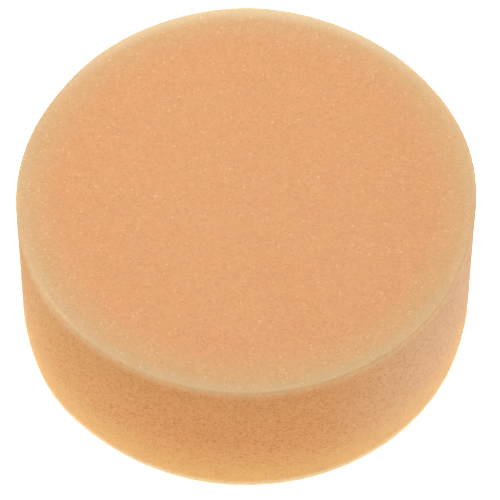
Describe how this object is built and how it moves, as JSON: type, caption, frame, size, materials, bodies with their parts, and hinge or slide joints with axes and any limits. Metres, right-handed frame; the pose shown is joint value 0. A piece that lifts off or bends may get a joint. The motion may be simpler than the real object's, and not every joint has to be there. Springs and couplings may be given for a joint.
{
  "type": "polishing pad",
  "caption": "Thick round foam polishing pad on a moulded backing plate, with a threaded steel insert that screws onto a rotary polisher's spindle.",
  "frame": {"origin": "centre of the threaded insert's seat face, on the spindle axis, at the lowest point of the pad", "axes": "+Z along the spindle axis from the seat towards the foam's working face; +X across a corner of the insert's hexagon; +Y across its flats"},
  "size_m": [0.125, 0.125, 0.0644],
  "materials": {
    "foam": "matte",
    "adhesive": "satin",
    "plate": "satin",
    "insert": "satin"
  },
  "bodies": {
    "root": {"foam_disc": "foam", "adhesive_layer": "adhesive", "backing_plate": "plate", "threaded_insert": "insert"}
  },
  "joints": []
}
